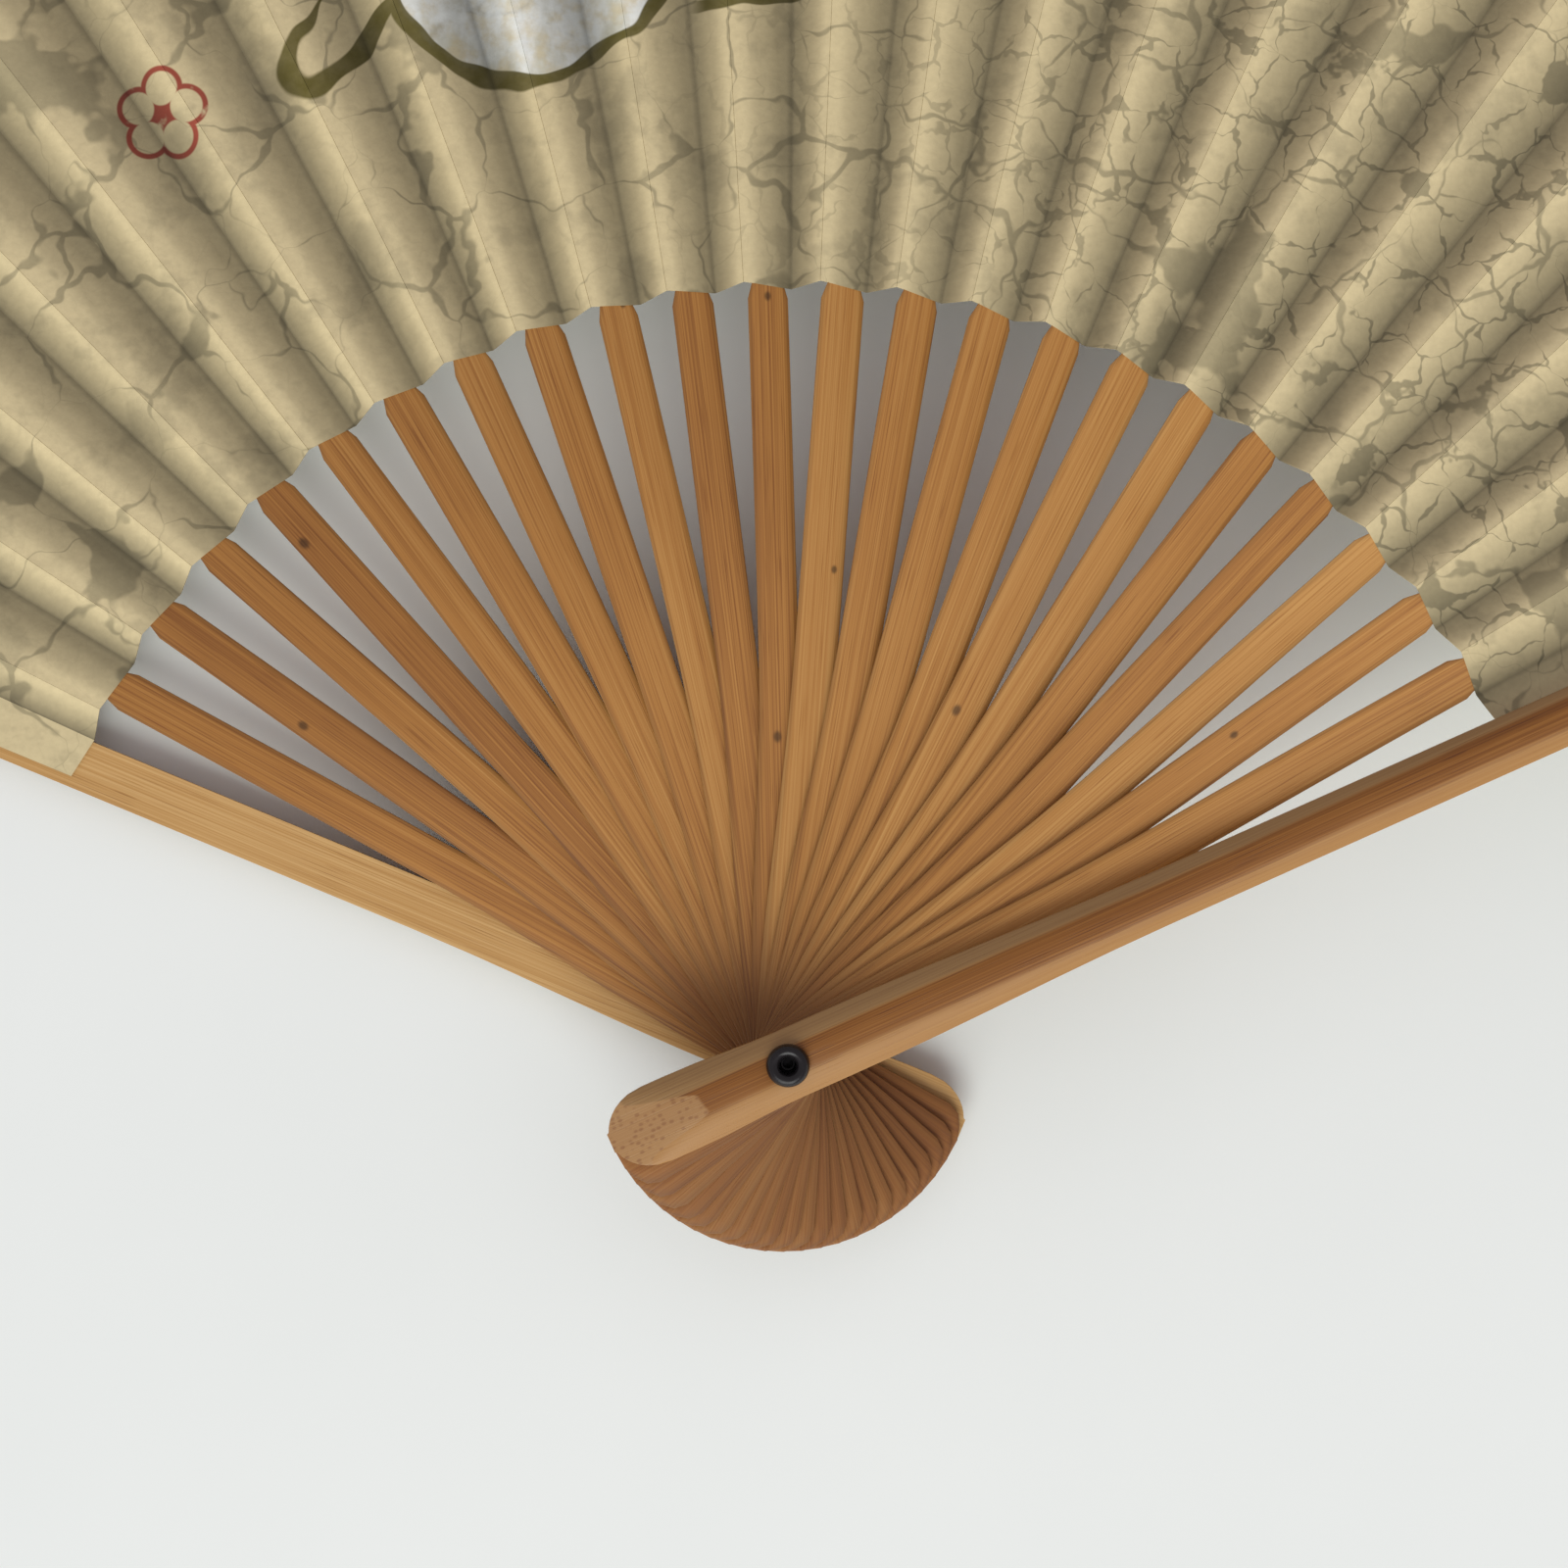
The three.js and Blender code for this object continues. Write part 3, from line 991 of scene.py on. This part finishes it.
def painting(start, plan, colour, fleck):
    """The paper's colour with the brushwork laid over it."""
    hand = shaken(start, plan, 75.0, 0.006)
    pressure = noise(moved(start, plan, (6, 1, 0)), 130.0, detail=1.0)
    half_width = pressure * 0.0022 - 0.0003
    inside, lines = flower(start, hand, half_width)
    body = noise(stretched(start, plan, (210, 90, 1), (1, 9, 0)), 1.0, detail=4.0)
    wash = mix(body.step(0.36, 0.60), WASH_THIN, WASH)
    colour = mix(inside * (0.35 + fleck.step(0.30, 0.60) * 0.55), colour, wash)
    lines = lines.either(bud_and_twig(start, hand, half_width))
    colour = mix(lines * (0.80 + fleck * 0.3), colour, OLIVE)
    return mix(stamp(start, plan) * fleck.step(0.22, 0.42) * 0.95, colour, VERMILION)


print("brushwork is ready")

# %% Paper finish
SMALL_CELL = 0.0056
SMALL_VEIN = 0.046  # vein width, as a share of the cell
LARGE_CELL = 0.0115
LARGE_VEIN = 0.034


def fold_shading(crest):
    """Painted shade and highlight on the folds: how much light the paper keeps, with painted shade in the
    valleys and a painted highlight along the mountains.
    """
    valley_edge = crest.step(0.0, 0.11) * 0.15
    flank = crest.step(0.03, 0.62) * 0.42
    mountain_highlight = crest.step(0.5, 0.93) * 0.42
    return 0.40 + valley_edge + flank + mountain_highlight


def crackle(start, plan, fleck):
    """Cream paper with cloudy patches and grey-green veins."""
    busy = parts(start, plan)[0].step(-0.03, 0.06)
    cloud = noise(plan, 95.0, detail=4.0)
    small = cracks(start, plan, SMALL_CELL, SMALL_VEIN, 0.4) * (0.1 + busy * 0.9)
    large = cracks(start, plan, LARGE_CELL, LARGE_VEIN, 1.7) * 0.85
    patches = (cloud + (fleck - 0.5) * 0.5).step(0.50, 0.68)
    colour = mix(patches * 0.58, CREAM, PATCH)
    return mix(small.either(large) * 0.85, colour, VEIN)


def paper_finish():
    material, start, shader = start_finish("leaf_paper")
    plan = start.node("UVMap", {"uv_map": "plan"})
    fleck = noise(moved(start, plan, (2, 3, 0)), 420.0, detail=3.0)
    fibre = noise(moved(start, plan, (7, 5, 0)), 1500.0, detail=2.0)
    colour = painting(start, plan, crackle(start, plan, fleck), fleck)
    # painted shade and highlight of the folds, times the paper's own mottling
    shade = fold_shading(attribute(start, "mark")) * (0.80 + fleck * 0.20 + fibre * 0.20)
    feed(shader, "Base Color", multiply_colour(colour, shade))
    feed(shader, "Roughness", 0.82 + (fleck - 0.5) * 0.2)
    shader.inputs["Specular IOR Level"].default_value = 0.25
    crumple = noise(moved(start, plan, (4, 4, 0)), 260.0, detail=4.0)
    relief = {"Strength": 0.35, "Distance": 0.0004, "Height": crumple}
    feed(shader, "Normal", start.node("Bump", None, relief))
    return material


leaf_paper = paper_finish()
print("finish:", leaf_paper.name)

# %% [markdown]
# ## The pleated leaf
# The leaf is one sheet doubled over the rib tongues. Panels that ride on a stave are sleeves: two
# papers with the tongue between them, swelling a little over the tongue. The free panels between two
# staves are single strips that fold as the fan closes, so each is blended between its two bodies.

# %% Stave panels
LEAF_ROWS = 12
LEAF_COLUMNS = 22
PAPER_HALF = 0.10 * MM  # half of the two papers where nothing lies between them
SLEEVE_HALF = 0.25 * MM  # half of the sleeve over the tongue
SLEEVE_FADE = 0.9 * MM  # how far beside the tongue the sleeve closes
TIP_FADE_START = TONGUE_END - 6 * MM  # where along the fold the sleeve begins to close
TIP_FADE = 7 * MM  # and over what length it closes
EDGE_ZIGZAG = 0.4 * MM
REAR_LAP = 1.6 * MM  # how far the paper laps over each guard, past its middle line
FRONT_LAP = 1.8 * MM
FRONT_FOLD = math.radians(0.8)  # from the front guard's middle to the last fold, under its edge
GUARD_FOLD_SHADE = 0.8  # the flat paper on the guards gets the painted shade of the upper flank of a fold


def rounded(share):
    """Share of the drop from mountain to valley, flattened at both folds."""
    return share - ROUNDING * math.sin(2 * math.pi * share) / (2 * math.pi)


def leaf_radius(column, mountain_share):
    """Radius of a grid column; the inner edge steps out at mountains and in at valleys."""
    inner = LEAF_INNER + EDGE_ZIGZAG * (2 * mountain_share - 1)
    along = column / LEAF_COLUMNS
    return inner + (LEAF_OUTER - inner) * along


def fold_top(k, radius):
    """The fold that a free panel climbs to: a mountain, or the last fold under the front guard."""
    if k == STAVES:
        return polar(radius, azimuth[k] + FRONT_FOLD, height[k])
    return mountain(k, radius)


def panel_edges(k, radius):
    """The right and left edges of stave k's own panel."""
    if k == 0:
        return valley(k, radius), polar(radius, azimuth[k] + REAR_LAP / radius, height[k])
    if k == STAVES:
        return polar(radius, azimuth[k] - FRONT_LAP / radius, height[k]), fold_top(k, radius)
    return valley(k, radius), mountain(k, radius)


def sleeve_half(k, sideways, radius):
    """Half the thickness of a panel, which is fuller over the rib's tongue."""
    if k in (0, STAVES):
        return PAPER_HALF
    over = 1 - smooth((abs(sideways) - TONGUE_HALF) / SLEEVE_FADE)
    before = 1 - smooth((radius - TIP_FADE_START) / TIP_FADE)
    return PAPER_HALF + (SLEEVE_HALF - PAPER_HALF) * over * before


def build_stave_panel(k):
    bm, found = unit_grid(LEAF_COLUMNS, LEAF_ROWS)
    mark = bm.verts.layers.float["mark"]
    for (column, row), upper in thicken(bm, found).items():
        lower = found[column, row]
        share = row / LEAF_ROWS  # 0 at the valley, 1 at the mountain
        radius = leaf_radius(column, share)
        low, high = panel_edges(k, radius)
        point = low.lerp(high, share)
        point.z = low.z + (high.z - low.z) * rounded(share)
        half = sleeve_half(k, (share - 0.5) * (high - low).length, radius)
        lower.co = point - Vector((0, 0, half))
        upper.co = point + Vector((0, 0, half))
        # the mark sets the painted shade and highlight of the folds
        lower[mark] = upper[mark] = GUARD_FOLD_SHADE if k in (0, STAVES) else share
    write_uv(bm, "plan", lambda v: (v.co.x, v.co.y))
    return bm


for k in range(STAVES + 1):
    name = f"leaf_panel_{k:02d}"
    bm = build_stave_panel(k)
    panel = make_piece(name + "_paper", bm, leaf_paper, body_of_stave[k])
    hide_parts(name)
print("stave panels:", STAVES + 1)

# %% [markdown]
# A free panel must stay joined along both of its folds at every angle of the hinge. The blend weight
# is a straight ramp in space, 0 before one plane and 1 after another. The valley line of stave k and
# the mountain line of stave k + 1 both run at the rivet's axis, but at different heights there, so
# one ramp exists that is 0 all along the first and 1 all along the second. Its slope g solves three
# linear equations: no change along either line, and a change of 1 between their feet on the axis.

# %% Free panels
FOLD_ROWS = 8
CURL = 0.65  # 0 leaves the free panels flat and 1 rounds both folds fully


def blend_ramp(k):
    """Start and end points of the ramp from the valley of k to the mountain of k + 1."""
    foot_low, foot_high = valley(k, 0), mountain(k + 1, 0)
    along_low = valley(k, 1) - foot_low
    along_high = fold_top(k + 1, 1) - foot_high
    rows = [along_low, along_high, foot_high - foot_low]
    slope = Vector(np.linalg.solve(np.array(rows), np.array([0, 0, 1.0])))
    return foot_low, foot_low + slope / slope.length_squared


def build_free_panel(k):
    bm, found = unit_grid(LEAF_COLUMNS, FOLD_ROWS)
    mark = bm.verts.layers.float["mark"]
    for (column, row), vertex in found.items():
        share = row / FOLD_ROWS  # 0 at the mountain of k + 1, 1 at the valley of k
        high = fold_top(k + 1, leaf_radius(column, 1.0))
        low = valley(k, leaf_radius(column, 0.0))
        vertex.co = high.lerp(low, share)
        # the mark sets the painted shade and highlight of the folds
        vertex[mark] = 1 - share
    write_uv(bm, "plan", lambda v: (v.co.x, v.co.y))
    return bm


def curl(fold, k):
    """Bends the flat strip into a soft S: hollow by the valley and full below the mountain.
    The strip is bent by modifiers, so the blend weights of the flat strip stay exact."""
    hollow = fold.vertex_groups.new(name="hollow")
    full = fold.vertex_groups.new(name="full")
    for vertex in fold.data.vertices:
        share = vertex.index // (LEAF_COLUMNS + 1) / FOLD_ROWS
        climb = smooth(1 - share) - (1 - share)
        climb *= CURL * (fold_top(k + 1, LEAF_OUTER).z - valley(k, LEAF_OUTER).z)
        climb *= vertex.co.xy.length / LEAF_OUTER
        (full if climb > 0 else hollow).add([vertex.index], abs(climb) / MM, "REPLACE")
    for group, strength in ((hollow, -1 * MM), (full, 1 * MM)):
        bend = fold.modifiers.new(group.name, "DISPLACE")
        bend.direction = "Z"
        bend.mid_level = 0
        bend.strength = strength
        bend.vertex_group = group.name


def sharp_rims():
    """A modifier group that keeps the cut rims crisp, which the Solidify modifier leaves smooth."""
    group = bpy.data.node_groups.new("sharp_rims", "GeometryNodeTree")
    for in_out in ("INPUT", "OUTPUT"):
        group.interface.new_socket("Geometry", in_out=in_out, socket_type="NodeSocketGeometry")
    entry = group.nodes.new("NodeGroupInput")
    angle = group.nodes.new("GeometryNodeInputMeshEdgeAngle")
    wide = group.nodes.new("FunctionNodeCompare")
    wide.inputs["B"].default_value = 2 * SHARP_ANGLE
    crisp = group.nodes.new("GeometryNodeSetShadeSmooth")
    crisp.domain = "EDGE"
    crisp.inputs["Shade Smooth"].default_value = False
    leave = group.nodes.new("NodeGroupOutput")
    group.links.new(angle.outputs["Unsigned Angle"], wide.inputs["A"])
    group.links.new(wide.outputs["Result"], crisp.inputs["Selection"])
    group.links.new(entry.outputs[0], crisp.inputs["Geometry"])
    group.links.new(crisp.outputs[0], leave.inputs[0])
    return group


rims = sharp_rims()
for k in range(STAVES):
    name = f"leaf_fold_{k:02d}"
    fold = make_piece(name, build_free_panel(k), leaf_paper, None)
    start, end = blend_ramp(k)
    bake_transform(fold, body_of_stave[k], body_of_stave[k + 1], start, end)
    weights = [item.value for item in fold.data.attributes["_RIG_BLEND"].data]
    curl(fold, k)
    wall = fold.modifiers.new("paper", "SOLIDIFY")
    wall.thickness = 2 * PAPER_HALF
    wall.offset = 0
    fold.modifiers.new("rims", "NODES").node_group = rims
print("free panels:", STAVES, "weights from", min(weights), "to", max(weights))

# %% [markdown]
# ## The table
# A plain off-white table top. Its faint mottling keeps it from looking like an empty page.

# %% Table
TABLE_GREY = (0.78, 0.825, 0.80)
TABLE_WHITE = (0.84, 0.88, 0.855)
TABLE_HALF = 3.0
TABLE_GAP = 0.0002  # below the lowest point of the rivet


def table_finish():
    material, start, shader = start_finish("table_white")
    place = start.node("TexCoord", None, None, output=3)
    mottle = noise(place, 14.0, detail=5.0)
    feed(shader, "Base Color", mix(mottle, TABLE_GREY, TABLE_WHITE))
    shader.inputs["Roughness"].default_value = 0.6
    return material


bm = bmesh.new()
bmesh.ops.create_grid(bm, x_segments=1, y_segments=1, size=TABLE_HALF)
bmesh.ops.translate(bm, verts=bm.verts, vec=(0, 0, cad_low.z - TABLE_GAP))
table = make_piece("table_top", bm, table_finish())
print("table at z =", round(1000 * (cad_low.z - TABLE_GAP), 2), "mm")
